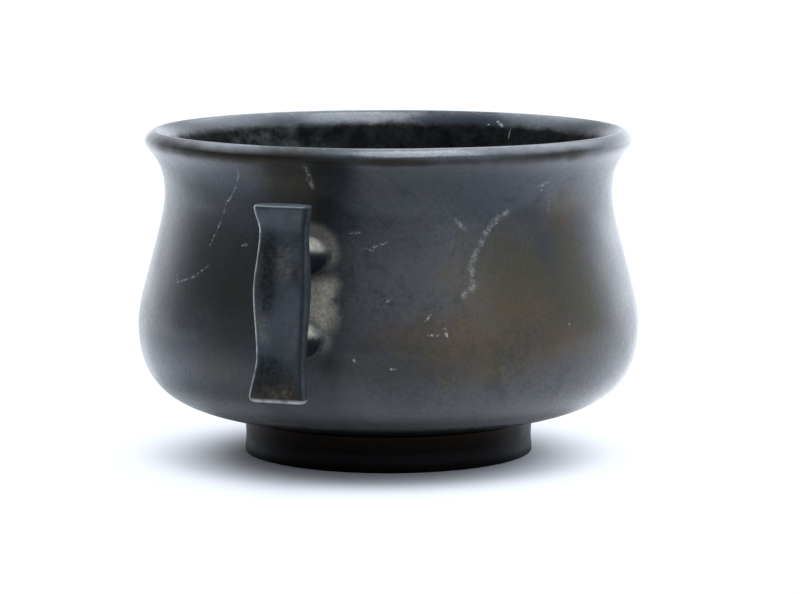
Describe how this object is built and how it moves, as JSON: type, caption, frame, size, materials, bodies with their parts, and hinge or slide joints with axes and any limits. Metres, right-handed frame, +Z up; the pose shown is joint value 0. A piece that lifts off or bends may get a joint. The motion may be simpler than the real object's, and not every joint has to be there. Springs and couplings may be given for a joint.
{
  "type": "bronze censer",
  "caption": "Round bellied censer with a drawn-in throat, rolled lip, plain foot ring and a pair of waisted upright bar handles on short arms.",
  "frame": {"origin": "centre of the circle that the foot ring stands on, in the plane of its underside", "axes": "+Z up along the vessel's axis; X through both handles, with left_handle at -X and right_handle at +X; Y across, from one plain side to the other"},
  "size_m": [0.1636, 0.128, 0.0827],
  "materials": {
    "bowl_bronze": "smooth cast bronze with a blue-grey to olive-brown handled patina",
    "foot_bronze": "near-black patinated bronze, satin",
    "handle_bronze": "blue-grey patinated bronze, satin, rubbed bright along its edges",
    "rivet_bronze": "dull brown hammered bronze"
  },
  "bodies": {
    "root": {"bowl": "bowl_bronze", "foot_ring": "foot_bronze", "left_handle": "handle_bronze", "right_handle": "handle_bronze", "left_upper_rivet": "rivet_bronze", "left_lower_rivet": "rivet_bronze", "right_upper_rivet": "rivet_bronze", "right_lower_rivet": "rivet_bronze"}
  },
  "joints": []
}
